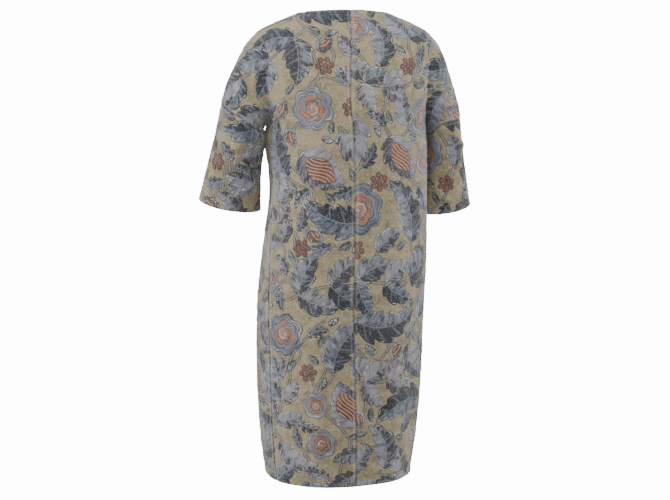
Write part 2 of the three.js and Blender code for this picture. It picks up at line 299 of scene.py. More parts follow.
def add_faces(piece, lower, upper, turn=False):
    """Faces between two rows of corners."""
    for a, b, c, d in zip(lower[:-1], upper[:-1], upper[1:], lower[1:]):
        cage_faces.append((d, c, b, a) if turn else (a, b, c, d))
        cage_owner.append(PIECES.index(piece))


def corners_across(start, end, columns, up):
    degrees = np.linspace(start, end, columns + 1)
    turned = np.where(degrees > 180, degrees - 360, degrees)
    places = np.stack([turned, np.full_like(turned, up)], 1)
    height = fold_height(places, BODY_FOLDS, np.array([math.radians(1) * FOLD_RADIUS, 1]))
    return add_points(body_form(degrees, up) + height[:, None] * body_outward(degrees, up))


fold_edges = {up: (back, front) for up, back, front in SHOULDER_FOLD}
stations = [
    *np.linspace(0, UNDERARM, ROWS_BELOW_ARM, endpoint=False),
    *[row[0] for row in SHOULDER_FOLD[:-1]],
    *np.linspace(SHOULDER_POINT, NECK_EDGE, ROWS_ON_SHOULDER + 1),
]
body_rows = []
for up in stations:
    side = float(seam["side"](up)) if up < UNDERARM else 90
    back_edge, front_edge = fold_edges.get(up, (side, side))
    centre = float(seam["centre_back"](up))
    row = {
        "back_left": corners_across(centre, back_edge, BACK_COLUMNS, up),
        "front": corners_across(front_edge, 360 - front_edge, FRONT_COLUMNS, up),
        "back_right": corners_across(360 - back_edge, 360 + centre, BACK_COLUMNS, up),
    }
    row["back_right"][-1] = row["back_left"][0]
    if back_edge == front_edge:
        row["front"][0] = row["back_left"][-1]
        row["back_right"][0] = row["front"][-1]
    body_rows.append(row)
for lower, upper in zip(body_rows[:-1], body_rows[1:]):
    for piece in ("back_left", "front", "back_right"):
        add_faces(piece, lower[piece], upper[piece])


def shoulder_loop(side):
    """The shoulder fold up the back and down the front, and the way that the cloth leaves it."""
    first = stations.index(UNDERARM)
    back_piece, back_end, front_end = ("back_left", -1, 0) if side > 0 else ("back_right", 0, -1)
    ids = [body_rows[first + i][back_piece][back_end] for i in range(len(SHOULDER_FOLD))]
    facing = [body_outward(side * back, up) for up, back, _ in SHOULDER_FOLD]
    for i in range(len(SHOULDER_FOLD) - 2, 0, -1):
        ids.append(body_rows[first + i]["front"][front_end])
        facing.append(body_outward(side * SHOULDER_FOLD[i][2], SHOULDER_FOLD[i][0]))
    places = np.array([cage_points[i] for i in ids])
    tangent = np.roll(places, -1, 0) - np.roll(places, 1, 0)
    into = unit(np.cross(np.array(facing), tangent) * side)
    into[:, 0] += side * SHOULDER_SPREAD
    return ids, places, unit(into)


def arm_ring(size, side, turn):
    c, s = np.cos(2 * np.pi * turn), np.sin(2 * np.pi * turn)
    fullness = (np.abs(c) ** size["round"] + np.abs(s) ** size["round"]) ** (-1 / size["round"])
    outward, backward = -c * fullness * size["across"], s * fullness * size["deep"]
    rise, nod = math.radians(size["rise"]), math.radians(size["nod"])
    height = outward * math.sin(rise) - backward * math.sin(nod) - size["dip"] * ((1 + c) / 2) ** 6
    out, back = outward * math.cos(rise), backward * math.cos(nod)
    return np.stack([side * (size["out"] + out), size["back"] + back, size["up"] - NECK_HEIGHT + height], -1)


def arm_rows(side):
    """Rows of points from the shoulder fold through the armhole seam to the cuff."""
    ids, starts, into = shoulder_loop(side)
    turn = np.arange(len(ids)) / len(ids)
    armhole, cuff = (arm_ring(dict(zip(ARM_COLUMNS, row)), side, turn) for row in ARM_RINGS[side])
    hang = ARM_HANG * np.array([side, 1, 1])
    upper_span = np.linalg.norm(armhole - starts, axis=1, keepdims=True)
    lower_span = np.linalg.norm(cuff - armhole, axis=1, keepdims=True)
    down = unit(cuff - armhole)
    leaving, arriving = into * 0.55 * upper_span, hang * 0.65 * upper_span
    upper = [
        path_between(starts, leaving, armhole, arriving, (r / ROWS_TO_ARMHOLE) ** 1.25)
        for r in range(ROWS_TO_ARMHOLE)
    ]
    lower = [
        path_between(armhole, unit(down + hang) * lower_span, cuff, down * lower_span, r / ROWS_TO_CUFF)
        for r in range(ROWS_TO_CUFF + 1)
    ]
    return ids, np.array(upper + lower)


arm_lines = {}
for side, side_name in ((1, "left"), (-1, "right")):
    ids, lines = arm_rows(side)
    arm_lines[side] = lines
    last, count = len(lines) - 1, len(ids)
    turn = np.arange(count) / count
    rows = [np.array(ids)]
    for r in range(1, last + 1):
        along = lines[min(r + 1, last)] - lines[r - 1]
        around = np.roll(lines[r], -1, 0) - np.roll(lines[r], 1, 0)
        outward = unit(np.cross(around, along) * side)
        places = np.stack([turn, np.full(count, r / last)], 1)
        height = fold_height(places, ARM_FOLDS, np.array([ARM_GIRTH, ARM_LENGTH]))
        rows.append(add_points(lines[r] + height[:, None] * outward))
    for r in range(last):
        upper, lower = np.append(rows[r], rows[r][0]), np.append(rows[r + 1], rows[r + 1][0])
        for i in range(count):
            shoulder = f"back_{side_name}" if i < count / 2 else "front"
            piece = shoulder if r < ROWS_TO_ARMHOLE else f"sleeve_{side_name}"
            add_faces(piece, lower[i : i + 2], upper[i : i + 2], turn=side < 0)

cage_points = np.array(cage_points)
cage_owner = np.array(cage_owner)
print("cage:", len(cage_points), "points,", len(cage_faces), "faces")

# %% [markdown]
# A pattern cutter draws each piece flat. An unwrap does the same: the seams are marked, and
# the method that keeps stretch low lays each piece out almost without distortion. Sleeves are
# tubes, so they are also cut open along the underarm. The flat pieces are then scaled to their
# real size and turned upright. They are in millimetres here, and in metres in the map that the
# materials read.

# %% Flatten the pieces
def smooth_mesh(name, points, faces):
    mesh = bpy.data.meshes.new(name)
    mesh.from_pydata((points * MM).tolist(), [], faces.tolist())
    mesh.polygons.foreach_set("use_smooth", np.ones(len(faces), bool))
    return mesh


def read_array(items, name, width, kind=float):
    values = np.empty(len(items) * width, kind)
    items.foreach_get(name, values)
    return values.reshape(-1, width) if width > 1 else values


used = np.unique(np.array(cage_faces))
new_place = np.full(len(cage_points), -1)
new_place[used] = np.arange(len(used))
cage_faces = new_place[np.array(cage_faces)]
skin_mesh = smooth_mesh("skin", cage_points[used], cage_faces)
for _ in PIECES:
    skin_mesh.materials.append(None)
skin_mesh.polygons.foreach_set("material_index", cage_owner)
skin = put_in_scene("skin", skin_mesh)

owners_of_edge = {}
for face, owner in zip(cage_faces, cage_owner):
    for a, b in zip(face, np.roll(face, -1)):
        owners_of_edge.setdefault((min(a, b), max(a, b)), set()).add(owner)
underarm_edges = set()
for piece in ("sleeve_left", "sleeve_right"):
    # the first and last face of each row meet at the underarm, from the armhole seam to the cuff
    sleeve_faces = cage_faces[cage_owner == PIECES.index(piece)].reshape(ROWS_TO_CUFF, -1, 4)
    for first, last in zip(sleeve_faces[:, 0], sleeve_faces[:, -1]):
        underarm_edges.add(tuple(sorted(set(first) & set(last))))
for edge in skin_mesh.edges:
    key = tuple(sorted(edge.vertices))
    edge.use_seam = len(owners_of_edge[key]) > 1 or key in underarm_edges

skin_mesh.uv_layers.new(name="cloth")
bpy.context.view_layer.objects.active = skin
skin.select_set(True)
bpy.ops.object.mode_set(mode="EDIT")
bpy.ops.mesh.select_all(action="SELECT")
bpy.ops.uv.unwrap(method="MINIMUM_STRETCH", margin=0.01)
bpy.ops.object.mode_set(mode="OBJECT")


def quad_areas(points):
    one, two = points[:, 2] - points[:, 0], points[:, 3] - points[:, 1]
    if points.shape[-1] == 2:
        return (one[:, 0] * two[:, 1] - one[:, 1] * two[:, 0]) / 2
    return np.linalg.norm(np.cross(one, two), axis=1) / 2


flat = read_array(skin_mesh.uv_layers["cloth"].data, "uv", 2).reshape(-1, 4, 2)
solid_corners = cage_points[used][cage_faces]
flat_size = {}
for number, piece in enumerate(PIECES):
    own = cage_owner == number
    real_area = quad_areas(solid_corners[own]).sum()
    flat[own] *= math.sqrt(real_area / abs(quad_areas(flat[own]).sum()))
    places = flat[own].reshape(-1, 2)
    heights = solid_corners[own].reshape(-1, 3)[:, 2]
    uphill = np.linalg.lstsq(places - places.mean(0), heights - heights.mean(), rcond=None)[0]
    x, y = uphill / np.linalg.norm(uphill)
    flat[own] = flat[own] @ np.array([[y, x], [-x, y]])
    flat[own] -= flat[own].reshape(-1, 2).min(0)
    flat_size[piece] = (*flat[own].reshape(-1, 2).max(0), abs(quad_areas(flat[own]).sum()))
    print(piece, "flat", [round(float(size)) for size in flat_size[piece][:2]], "mm")
skin_mesh.uv_layers["cloth"].data.foreach_set("uv", (flat * MM).ravel())

# %% [markdown]
# Subdivision turns the cage into smooth cloth. Three levels give the back and the sleeves a point
# about every three millimetres. The front, which the camera doesn't see, takes two.

# %% The fine skin
SKIN_LEVELS = {"back_left": 3, "back_right": 3, "front": 2, "sleeve_left": 3, "sleeve_right": 3}
smoothing = skin.modifiers.new("smooth", "SUBSURF")
smoothing.uv_smooth = "PRESERVE_BOUNDARIES"


def fine_skin(level):
    smoothing.levels = level
    mesh = skin.evaluated_get(bpy.context.evaluated_depsgraph_get()).to_mesh()
    return {
        "points": read_array(mesh.vertices, "co", 3) / MM,
        "normals": read_array(mesh.vertex_normals, "vector", 3),
        "faces": read_array(mesh.loops, "vertex_index", 1, np.int32).reshape(-1, 4),
        "owner": read_array(mesh.polygons, "material_index", 1, np.int32),
        "flat": read_array(mesh.uv_layers["cloth"].data, "uv", 2).reshape(-1, 4, 2) / MM,
    }


skins = {level: fine_skin(level) for level in sorted(set(SKIN_LEVELS.values()))}
print({level: len(one["faces"]) for level, one in skins.items()})

# %% [markdown]
# Cloth that hangs from shoulders keeps soft, uneven folds. The big ones are in the form already.
# These smaller ones are drawn as paths over the cloth: drag lines at the shoulder point,
# upright ripples that fade towards the hem, and slack across the inside of the elbow. A path on
# the body is given by angles and heights, and one on an arm by its side, turn and way along.

# %% Small folds
BODY_CREASES = [
    # path of (degrees, up), reach, height
    ([(34, 705), (37, 620), (33, 500)], 17, 1.5),
    ([(18, 640), (21, 540), (17, 430)], 15, -1.1),
    ([(-26, 700), (-31, 600), (-28, 470)], 18, 1.4),
    ([(-47, 620), (-43, 520), (-46, 420)], 15, -1.3),
    ([(64, 590), (54, 556), (43, 548)], 10, 1.7),
    ([(66, 560), (56, 530), (47, 524)], 9, -1.4),
    ([(-66, 600), (-57, 565), (-44, 553)], 11, 1.8),
    ([(-62, 545), (-54, 520), (-42, 512)], 9, -1.5),
    ([(26, 330), (23, 180), (27, 10)], 19, 1.9),
    ([(44, 300), (47, 150), (43, 5)], 15, -1.7),
    ([(-18, 290), (-22, 160), (-19, 0)], 17, -1.5),
    ([(-38, 350), (-35, 190), (-40, 5)], 20, 2.1),
    ([(-54, 240), (-57, 110), (-53, 5)], 13, -1.5),
    ([(8, 210), (11, 110), (9, 5)], 14, 1.2),
    ([(58, 420), (50, 395), (38, 392)], 11, 1.2),
    ([(-60, 440), (-50, 410), (-37, 406)], 12, 1.2),
    ([(70, 760), (60, 730), (46, 716)], 11, 1.9),
    ([(-70, 770), (-59, 738), (-45, 724)], 12, 1.8),
    ([(72, 700), (62, 668), (50, 655)], 10, -1.5),
    ([(-72, 712), (-61, 676), (-49, 664)], 11, -1.5),
    ([(66, 850), (52, 842), (38, 846)], 11, 1.1),
    ([(-64, 848), (-52, 838), (-36, 842)], 11, 1.1),
    ([(150, 330), (155, 170), (151, 5)], 20, 2.0),
    ([(171, 300), (168, 140), (172, 5)], 17, -1.6),
    ([(196, 340), (192, 180), (197, 5)], 19, 1.8),
    ([(214, 280), (218, 140), (213, 5)], 15, -1.7),
    ([(128, 590), (140, 556), (154, 545)], 12, 1.7),
    ([(232, 600), (221, 562), (206, 552)], 12, 1.7),
    ([(118, 735), (130, 705), (146, 694)], 12, 1.7),
    ([(242, 730), (230, 702), (215, 690)], 12, 1.7),
    ([(165, 700), (160, 590), (166, 470)], 18, 1.3),
    ([(200, 690), (203, 570), (198, 450)], 18, -1.2),
    ([(84, 728), (75, 766), (73.5, 837), (81, 889)], 7, -2.3),
    ([(-84, 728), (-75, 766), (-73.5, 837), (-81, 889)], 7, -2.3),
    ([(104, 420), (109, 250), (106, 60)], 15, 1.8),
    ([(256, 440), (251, 260), (255, 80)], 15, 1.8),
]
ARM_CREASES = [
    # side, path of (turn, along), reach, height
    (1, [(0.4, 0.08), (0.33, 0.16), (0.27, 0.2)], 6, 2.1),
    (1, [(0.35, 0.16), (0.3, 0.25), (0.24, 0.31)], 6, -1.8),
    (1, [(0.44, 0.36), (0.36, 0.46), (0.26, 0.51)], 8, -1.8),
    (1, [(0.24, 0.62), (0.34, 0.68), (0.46, 0.7)], 8, 1.9),
    (1, [(0.2, 0.74), (0.31, 0.82), (0.42, 0.83)], 8, -1.6),
    (1, [(0.1, 0.78), (0.19, 0.86), (0.26, 0.96)], 7, 1.6),
    (-1, [(0.41, 0.1), (0.34, 0.17), (0.27, 0.22)], 6, 2.0),
    (-1, [(0.46, 0.3), (0.37, 0.4), (0.28, 0.44)], 8, -1.7),
    (-1, [(0.26, 0.56), (0.36, 0.63), (0.47, 0.66)], 8, 1.9),
    (-1, [(0.22, 0.72), (0.32, 0.78), (0.42, 0.81)], 7, -1.6),
    (-1, [(0.12, 0.8), (0.2, 0.88), (0.28, 0.97)], 7, 1.6),
    (1, [(0.62, 0.5), (0.72, 0.6), (0.82, 0.64)], 8, 1.8),
    (-1, [(0.62, 0.48), (0.72, 0.57), (0.83, 0.6)], 8, 1.8),
    (1, [(0.0, 0.34), (0.0, 0.46), (0.0, 0.58), (0.0, 0.7)], 32, 3.9),
]


def arm_place(side, turn, along):
    lines = arm_lines[side]
    i, r = int(round(turn * lines.shape[1])) % lines.shape[1], along * (len(lines) - 1)
    below = min(int(r), len(lines) - 2)
    return lines[below, i] + (lines[below + 1, i] - lines[below, i]) * (r - below)


def smooth_path(points, count=14):
    points = np.array(points, float)
    at = np.linspace(0, 1, len(points))
    return np.stack([curve_through(at, column)(np.linspace(0, 1, count)) for column in points.T], 1)


creases = [
    (smooth_path([body_form(degrees, up) for degrees, up in path]), reach, height)
    for path, reach, height in BODY_CREASES
]
creases += [
    (smooth_path([arm_place(side, turn, along) for turn, along in path]), reach, height)
    for side, path, reach, height in ARM_CREASES
]


CREASE_DEPTH = 2.3  # how deep the cloth's small folds are next to the heights in the tables


def crease_height(points):
    total = np.zeros(len(points))
    for path, reach, height in creases:
        near = np.all((points > path.min(0) - 3 * reach) & (points < path.max(0) + 3 * reach), axis=1)
        away = np.linalg.norm(points[near][:, None] - path[None], axis=2)
        nearest = away.argmin(1)
        fade = np.sin(np.pi * (0.08 + 0.84 * nearest / (len(path) - 1)))
        total[near] += CREASE_DEPTH * height * fade * np.exp(-((away.min(1) / reach) ** 2))
    return total


print("small folds:", len(creases))

# %% [markdown]
# The cloth is a figured jacquard with a large trailing floral, in the manner of old crewel work:
# curving stems, lobed leaves with pale ribs and dark outlines, layered roses, striped seed
# heads and berries. Every motif is a formula here. A leaf is a bent spine with a half width that
# swells and dips in lobes, a rose is a scalloped disc with curling petals, and a berry cluster is
# a few discs. The catalogue gives each motif's real size in millimetres, and how many are tried
# on a square metre.

# %% Motif catalogue
MOTIF_COLUMNS = ("name", "kind", "per_m2", "length", "half_width", "bend", "lobes", "depth", "hue", "tone")
MOTIFS = [
    ("acanthus spray", "spray", 17, 200, 58, 1.1, 3, 0.34, 0.05, 0.46),
    ("seed head", "fruit", 10, 108, 40, 0.5, 5, 0.3, 0.17, 0.6),
    ("scroll spray", "spray", 24, 150, 48, -1.5, 3, 0.36, 0.17, 0.56),
    ("full rose", "rose", 11, 92, 46, 0, 7, 0, 0.08, 0.58),
    ("great leaf", "leaf", 18, 150, 36, 1.4, 5, 0.42, 0.05, 0.44),
    ("small rose", "rose", 15, 60, 30, 0, 6, 0, 0.22, 0.62),
    ("scroll leaf", "leaf", 36, 112, 27, -1.8, 4, 0.42, 0.16, 0.54),
    ("berries", "berries", 22, 44, 22, 0, 0, 0, 0.76, 0.4),
    ("round leaf", "leaf", 56, 76, 24, 0.9, 3, 0.32, 0.12, 0.54),
    ("bud", "fruit", 26, 44, 16, 0.4, 3, 0.2, 0.2, 0.6),
    ("blue sprig", "leaf", 120, 50, 14, -1.0, 4, 0.7, 0.05, 0.4),
    ("russet leaf", "leaf", 46, 52, 15, 0.8, 3, 0.3, 0.7, 0.5),
    ("leaflet", "leaf", 170, 30, 8, 0.6, 2, 0.2, 0.42, 0.45),
]
HUE_STOPS = [
    # what a hue number stands for
    (0.0, "#515b69"),
    (0.14, "#6d717b"),
    (0.26, "#878087"),
    (0.42, "#566766"),
    (0.56, "#655f4c"),
    (0.74, "#7d4a33"),
    (0.86, "#98664f"),
    (1.0, "#bd9680"),
]
OUTSIDE = -99.0  # the distance that stands for far outside
BERRY_RADIUS, BERRY_STEP = 6.0, 13
BERRY_ANGLES = np.radians(np.arange(10, 370, 60))
BERRY_RING = [(0, 0)] + [(BERRY_STEP * math.cos(a), BERRY_STEP * math.sin(a)) for a in BERRY_ANGLES]


def spine_places(points, motif):
    """Turns flat places into a length along the motif's bent spine and a distance across it."""
    across_way = np.array([-motif["way"][1], motif["way"][0]])
    x = (points - motif["base"]) @ motif["way"]
    y = (points - motif["base"]) @ across_way
    if abs(motif["bend"]) < 0.05:
        return x, y
    turn = math.copysign(1, motif["bend"])
    radius = motif["length"] / abs(motif["bend"])
    away = np.hypot(x, radius - y * turn)
    return radius * np.arctan2(x, radius - y * turn), (radius - away) * turn


def swell(share):
    """How full a leaf is at a share of its length: round near the foot, with a long tip."""
    return np.sin(np.pi * share**0.7) ** 0.8


def leaf_fields(s, d, motif):
    """Lobes point forwards and come in turn on the two sides of the spine."""
    length = motif["length"]
    t = np.clip(s / length, 0, 1)
    ribs = motif["lobes"] * (t**0.85 - 0.55 * np.abs(d) / length) + np.where(d < 0, 0.5, 0)
    part = ribs % 1
    lobes = 1.25 * part**0.55 * (1 - part**9)
    width = motif["half_width"] * swell(t) * (1 - motif["depth"] + motif["depth"] * lobes)
    return np.minimum(width - np.abs(d), np.minimum(s, length - s)), ribs, t


def motif_fields(points, motif):
    """For flat places: distance inside the outline, rib count, distance from the middle rib, hue, tone
    and distance inside the heart."""
    s, d = spine_places(points, motif)
    none = np.full(len(points), OUTSIDE)
    hue, tone = np.full(len(points), motif["hue"]), np.full(len(points), motif["tone"])
    if motif["kind"] == "rose":
        half = motif["half_width"]
        x, y = s - half, d
        away, angle = np.hypot(x, y), np.arctan2(y, x)
        scallops = 0.84 + 0.16 * np.abs(np.sin(motif["lobes"] * angle / 2 + 2.4 * away / half))
        share = away / (half * scallops)
        heart = half * 0.34 * scallops - away
        petals = np.abs(np.sin(1.5 * angle + 5 * share))
        hue = np.where((share < 0.62) & (petals > 0.4), 0.7 + 0.17 * petals, hue)
        tone = tone + 0.2 * (0.5 - share) + 0.1 * petals
        return half * scallops - away, 3.4 * share + angle / (2 * np.pi), none, hue, tone, heart
    if motif["kind"] == "berries":
        centre = motif["half_width"]
        away = np.min([np.hypot(s - centre - x, d - y) for x, y in BERRY_RING], axis=0)
        edge = BERRY_RADIUS - away
        return edge, np.zeros(len(points)), none, hue, tone + 0.05 * edge, none
    edge, ribs, t = leaf_fields(s, d, motif)
    tone = tone + 0.26 * np.tanh(d / 5) - 0.12 * np.abs(d) / motif["half_width"]
    if motif["kind"] == "leaf":
        return edge, ribs, d, hue, tone, none
    heart = motif["half_width"] * 0.56 * np.sin(np.pi * np.clip((t - 0.14) / 0.66, 0, 1)) ** 0.8 - np.abs(d)
    inside = heart > 0
    stripes = np.where(inside, (d + 9 * np.sin(s / 15)) / 7, ribs)
    return edge, stripes, none, np.where(inside, 0.74, hue), np.where(inside, 0.42, tone), heart


print("motifs in the catalogue:", len(MOTIFS))

# %% [markdown]
# Each flat piece gets its own layout, so the print doesn't meet at the seams, as on cloth that is
# cut without matching. The catalogue's order puts large motifs before small ones. Each one tries
# many spots and takes the one with the most room, and is left out where even that is too little.
# Stems wander up the piece in slow waves and send a branch to the foot of each larger motif
# that is near enough.

# %% Lay out the print
SPOTS_TRIED = 90
OVERLAP_SHARE, MOST_OVERLAP = 0.5, 22  # how far a motif may lie over another
LAYOUT_SEEDS = {"back_left": 21, "back_right": 8, "front": 33, "sleeve_left": 47, "sleeve_right": 5}
SPOT_SCATTER, FREE_ROOM = 12, 60.0  # a spot's random shift, and the room before anything is placed
STEM_SPACING, STEM_STEP, STEM_OVER = 150, 4.0, 20  # STEM_OVER is how far a stem runs past the piece
STEM_WAVE, STEM_SWING, STEM_WOBBLE = 330, 46, 12  # a wave's length, its swing, and a second swing
BRANCH_DROP, LONGEST_BRANCH, BRANCH_PULL = 45, 190, 1.1
LEAST_WITH_BRANCH = 40  # motifs shorter than this get none


def on_spine(motif, share):
    """Places on a motif's bent spine, at shares of its length."""
    s = np.atleast_1d(share) * motif["length"]
    bend = motif["bend"] / motif["length"]
    x = s if abs(bend) < 1e-6 else np.sin(bend * s) / bend
    y = np.zeros_like(s) if abs(bend) < 1e-6 else (1 - np.cos(bend * s)) / bend
    across_way = np.array([-motif["way"][1], motif["way"][0]])
    return motif["base"] + x[:, None] * motif["way"] + y[:, None] * across_way


def motif_discs(motif):
    """A few discs that cover the motif."""
    s = np.linspace(0.08, 0.92, 6) * motif["length"]
    places = on_spine(motif, s / motif["length"])
    if motif["kind"] in ("rose", "berries"):
        return places, np.sqrt(np.maximum(motif["half_width"] ** 2 - (s - motif["half_width"]) ** 2, 0))
    return places, motif["half_width"] * swell(s / motif["length"])


def spray_leaves(spray, rng):
    """The leaves of a spray: pairs along its spine, leaning forwards, and one at its tip."""
    heading = math.atan2(spray["way"][1], spray["way"][0])
    pairs = int(spray["lobes"])
    places = [(share, side) for share in np.linspace(0.08, 0.68, pairs) for side in (1, -1)] + [(0.68, 0)]
    leaves = []
    for share, side in places:
        angle = heading + spray["bend"] * share + side * (1.15 - 0.45 * share) + rng.uniform(-0.12, 0.12)
        length = spray["half_width"] * (1.5 - 0.45 * share) if side else 0.36 * spray["length"]
        leaf = dict(spray, kind="leaf", lobes=3 + rng.integers(0, 2))
        leaf["bend"] = -0.8 * side + rng.uniform(-0.2, 0.2)
        leaf.update(way=np.array([math.cos(angle), math.sin(angle)]), base=on_spine(spray, share)[0])
        leaf.update(length=length, half_width=length * rng.uniform(0.27, 0.35))
        leaf["hue"] = float(np.clip(spray["hue"] + rng.uniform(-0.06, 0.18), 0, 1))
        leaf["tone"] = spray["tone"] + rng.uniform(-0.24, 0.24)
        leaves.append(leaf)
    return leaves


def motif_on(spot, row, upward, rng):
    """A motif from its row of the catalogue, with a lean, size, bend and colour of its own."""
    lean = math.pi / 2 * upward + rng.choice([-1, 1]) * rng.uniform(0.15, 1.1)
    way = np.array([math.cos(lean), math.sin(lean)])
    size = rng.uniform(0.9, 1.1)
    motif = dict(zip(MOTIF_COLUMNS, row))
    motif.update(way=way, bend=motif["bend"] * rng.choice([-1, 1]))
    motif.update(length=motif["length"] * size, half_width=motif["half_width"] * size)
    motif["base"] = spot - way * motif["length"] / 2
    motif["hue"] = float(np.clip(motif["hue"] + rng.uniform(-0.05, 0.05), 0, 1))
    motif["tone"] += rng.uniform(-0.12, 0.12)
    return motif


def lay_out(piece):
    rng = np.random.default_rng(LAYOUT_SEEDS[piece])
    own = cage_owner == PIECES.index(piece)
    spots = flat[own].mean(1)
    chances = np.abs(quad_areas(flat[own]))
    area_m2 = chances.sum() * MM * MM
    placed, roots = [], []
    taken, taken_radius = np.empty((0, 2)), np.empty(0)
    for row in MOTIFS:
        for number in range(max(1, round(row[2] * area_m2))):
            best = None
            for _ in range(SPOTS_TRIED):
                spot = spots[rng.choice(len(spots), p=chances / chances.sum())]
                spot = spot + rng.uniform(-SPOT_SCATTER, SPOT_SCATTER, 2)
                motif = motif_on(spot, row, 1 if number % 3 else -1, rng)
                places, radius = motif_discs(motif)
                room = FREE_ROOM
                if len(taken):
                    away = np.linalg.norm(places[:, None] - taken[None], axis=2)
                    room = (away - radius[:, None] - taken_radius[None]).min()
                if best is None or room > best[0]:
                    best = (room, motif, places, radius)
            if best[0] > -min(OVERLAP_SHARE * best[1]["half_width"], MOST_OVERLAP):
                roots.append(best[1])
                placed += spray_leaves(best[1], rng) if best[1]["kind"] == "spray" else [best[1]]
                taken = np.concatenate([taken, best[2]])
                taken_radius = np.concatenate([taken_radius, best[3]])
    return placed, roots


def lay_stems(piece, roots):
    """Stems as lists of close points with the way that each point faces."""
    width, length, _ = flat_size[piece]
    seed = LAYOUT_SEEDS[piece]
    stems = []
    count = max(1, round(width / STEM_SPACING))
    rise = np.arange(-STEM_OVER, length + STEM_OVER, STEM_STEP)
    for number in range(count):
        middle = width * (number + 0.5) / count
        wave = 2 * np.pi * rise / STEM_WAVE + seed + 2.1 * number
        sway = STEM_SWING * np.sin(wave) + STEM_WOBBLE * np.sin(2.7 * wave + seed)
        stems.append(np.stack([middle + sway, rise], 1))
    trunk = np.concatenate(stems)
    for motif in roots:
        if motif["kind"] == "spray":
            stems.append(on_spine(motif, np.linspace(0, 0.8, 40)))
        if motif["length"] < LEAST_WITH_BRANCH:
            continue
        ahead = np.linalg.norm(trunk - motif["base"] + np.array([0, BRANCH_DROP]), axis=1).argmin()
        start, end = trunk[ahead], motif["base"]
        span = np.linalg.norm(end - start)
        if span > LONGEST_BRANCH:
            continue
        t = np.linspace(0, 1, max(4, int(span / STEM_STEP)))[:, None]
        leaving, arriving = np.array([0, BRANCH_PULL * span]), motif["way"] * BRANCH_PULL * span
        stems.append(path_between(start, leaving, end, arriving, t))
    ways = [unit(np.gradient(stem, axis=0) + 1e-9) for stem in stems]
    return np.concatenate(stems), np.concatenate(ways)


layouts = {piece: lay_out(piece) for piece in PIECES}
print({piece: len(motifs) for piece, (motifs, _) in layouts.items()})

# %% [markdown]
# The print is stored on the corners of the faces, mostly as plain distances in millimetres. Each
# face belongs to one motif, the last one laid over its middle or else the nearest, so nothing
# smears between two motifs. The material turns the distances into edges, ribs and outlines.

# %% Write the print on a mesh
def tree_of(points):
    tree = KDTree(len(points))
    for i, point in enumerate(points):
        tree.insert(point, i)
    tree.balance()
    return tree


def print_fields(flat_corners, piece):
    motifs, roots = layouts[piece]
    middles = flat_corners.mean(1)
    depth = np.full(len(middles), -np.inf)
    owner = np.zeros(len(middles), int)
    for number, motif in enumerate(motifs):
        reach = motif["length"] + motif["half_width"]
        near = np.linalg.norm(middles - motif["base"], axis=1) < reach
        inside = motif_fields(middles[near], motif)[0]
        better = (inside > depth[near]) | (inside > 0)
        index = np.flatnonzero(near)[better]
        depth[index], owner[index] = inside[better], number
    shape = np.zeros((len(middles), 4, 3))
    look = np.zeros((len(middles), 4, 3))
    shape[..., 0] = OUTSIDE
    for number, motif in enumerate(motifs):
        own = np.flatnonzero((owner == number) & (depth > -np.inf))
        fields = motif_fields(flat_corners[own].reshape(-1, 2), motif)
        edge, ribs, middle_rib, hue, tone, heart = (field.reshape(-1, 4) for field in fields)
        shape[own] = np.stack([edge, ribs, middle_rib], -1)
        look[own] = np.stack([hue, tone, heart], -1)
    places, ways = lay_stems(piece, roots)
    tree = tree_of([(*place, 0) for place in places])
    nearest = np.array([tree.find((*middle, 0))[1] for middle in middles])
    offset = flat_corners - places[nearest][:, None]
    way = ways[nearest][:, None]
    stem = offset[..., 1] * way[..., 0] - offset[..., 0] * way[..., 1]
    return shape, look, stem


def distance_to(points, targets):
    tree = tree_of(targets)
    return np.array([tree.find(point)[2] for point in points])


def store(mesh, name, values):
    attribute = mesh.attributes.new(name, "FLOAT_VECTOR", "CORNER")
    attribute.data.foreach_set("vector", values.astype(np.float32).ravel())


print("stem points on the back:", len(lay_stems("back_left", layouts["back_left"][1])[0]))

# %% [markdown]
# Now each piece is cut out of the fine skin. Its folds push it out and in, and at every seam
# the cloth turns in a little, because a pressed seam pulls the two edges down between their
# rounded lips. A free edge is turned up once inside, so the cloth is slightly fuller there.
# A figured cloth also crinkles all over, because its threads float and shrink unevenly. Smooth
# noise in space gives the crinkles, so they run on across a seam.

# %% Cut and shape the pieces
SEAM_DIP, SEAM_REACH = 0.9, 3.4
SEAM_LIP, LIP_AT, LIP_REACH = 0.35, 7.5, 4.0
HEM_ROLL, HEM_REACH = 0.6, 7.0
CLOTH_THICKNESS = 1.5
CREPE_SPACING, CREPE_HEIGHT, CREPE_OCTAVES = 15, 0.9, 2


def crepe_height(points):
    places = points / CREPE_SPACING
    return CREPE_HEIGHT * np.array([noise.fractal(place, 1.0, 2.0, CREPE_OCTAVES) for place in places])


